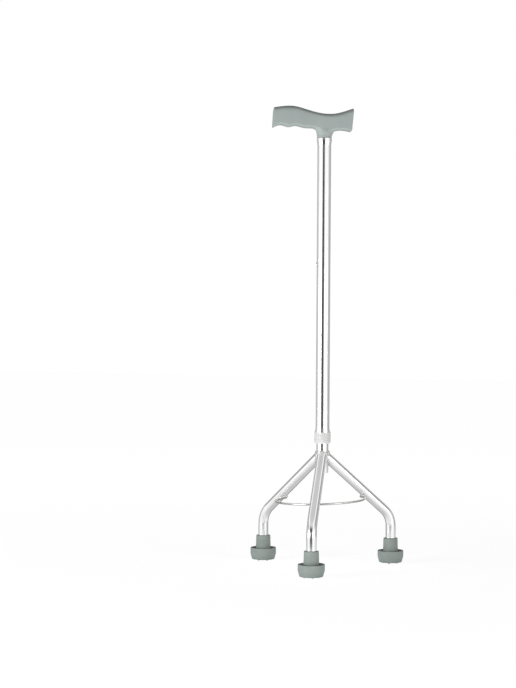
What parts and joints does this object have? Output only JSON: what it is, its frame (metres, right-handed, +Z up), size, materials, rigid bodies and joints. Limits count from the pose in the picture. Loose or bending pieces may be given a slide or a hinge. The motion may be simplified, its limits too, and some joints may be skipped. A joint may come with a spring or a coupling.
{
  "type": "tripod cane",
  "caption": "Height-adjustable walking cane: a moulded grip on a telescoping shaft that stands on splayed bent legs with studded rubber feet and a rod brace.",
  "frame": {"origin": "middle of the footprint's outer box, on the floor that the stud tips touch", "axes": "+Z up along the shaft; the snap button and the row of holes face -X; the grip's long end points 30 degrees from there toward -Y; the front leg points nearly to -Y"},
  "size_m": [0.2442, 0.2442, 0.7368],
  "materials": {
    "polished_aluminium": "polished",
    "rod_steel": "drawn rod",
    "bright_steel": "plated",
    "grip_plastic": "moulded, matt",
    "clamp_plastic": "natural nylon, slightly see-through",
    "grey_rubber": "moulded, matt"
  },
  "bodies": {
    "base": {"lower_tube": "polished_aluminium", "leg_right": "polished_aluminium", "leg_left": "polished_aluminium", "leg_front": "polished_aluminium", "brace_rod": "rod_steel", "button_spring": "bright_steel", "foot_right": "grey_rubber", "foot_left": "grey_rubber", "foot_front": "grey_rubber", "insert_right": "bright_steel", "insert_left": "bright_steel", "insert_front": "bright_steel", "stud_right_1": "bright_steel", "stud_right_2": "bright_steel", "stud_right_3": "bright_steel", "stud_right_4": "bright_steel", "stud_right_5": "bright_steel", "stud_left_1": "bright_steel", "stud_left_2": "bright_steel", "stud_left_3": "bright_steel", "stud_left_4": "bright_steel", "stud_left_5": "bright_steel", "stud_front_1": "bright_steel", "stud_front_2": "bright_steel", "stud_front_3": "bright_steel", "stud_front_4": "bright_steel", "stud_front_5": "bright_steel"},
    "shaft": {"upper_tube": "polished_aluminium", "handle": "grip_plastic", "split_bushing": "clamp_plastic"},
    "nut": {"lock_nut": "clamp_plastic"},
    "button": {"snap_button": "bright_steel"}
  },
  "joints": [
    {"name": "height_adjust", "type": "slide", "parent": "base", "child": "shaft", "axis": [0, 0, 1], "range_m": [0, 0.2286]},
    {"name": "nut_turn", "type": "hinge", "parent": "shaft", "child": "nut", "pos_m": [0.01566, 0.01566, 0.2067], "axis": [0, 0, 1], "range_deg": [-360, 0]},
    {"name": "button_press", "type": "slide", "parent": "base", "child": "button", "axis": [1, 0, 0], "range_m": [0, 0.0034], "stiffness_N_per_m": 600, "springref_m": -0.003, "deforming": ["button_spring"]}
  ]
}
